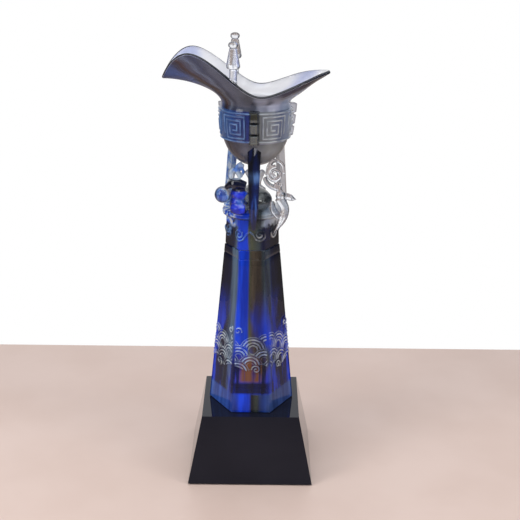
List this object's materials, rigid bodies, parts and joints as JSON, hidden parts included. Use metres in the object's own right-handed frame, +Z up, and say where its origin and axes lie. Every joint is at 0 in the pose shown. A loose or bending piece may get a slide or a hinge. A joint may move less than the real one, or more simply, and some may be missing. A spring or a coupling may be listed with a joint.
{
  "type": "column trophy",
  "caption": "Cast-glass spouted wine vessel on blade legs, standing on a tapered hexagonal glass column with wave relief and a black crystal base.",
  "frame": {"origin": "centre of the underside of the felt pad under the base", "axes": "+Z up along the column; the spout points to -X, the tail to +X and the front of the base faces -Y"},
  "size_m": [0.1164, 0.09, 0.3163],
  "materials": {
    "felt": "black felt",
    "black_crystal": "polished opaque black crystal",
    "adhesive": "cured clear adhesive",
    "column_glass": "polished cobalt and smoke glass",
    "collar_glass": "cast cobalt and smoke glass",
    "orb_glass": "cast smoke glass",
    "leg_glass": "cast deep blue glass",
    "cup_glass": "polished smoke glass",
    "flange_glass": "cast pale smoke glass",
    "clear_glass": "cast clear glass",
    "scroll_glass": "cast cobalt glass",
    "pearl_glass": "cast light blue glass"
  },
  "bodies": {
    "root": {"felt_pad": "felt", "base_block": "black_crystal", "base_adhesive": "adhesive", "column": "column_glass", "collar_adhesive": "adhesive", "collar": "collar_glass", "orb": "orb_glass", "leg_front": "leg_glass", "leg_right": "leg_glass", "leg_left": "leg_glass", "cup_bowl": "cup_glass", "flange_front": "flange_glass", "flange_right": "flange_glass", "flange_left": "flange_glass", "post_near": "clear_glass", "post_cap_near": "clear_glass", "post_far": "clear_glass", "post_cap_far": "clear_glass", "scroll_right": "clear_glass", "scroll_left": "scroll_glass", "scroll_back": "scroll_glass", "pearl": "pearl_glass"}
  },
  "joints": []
}
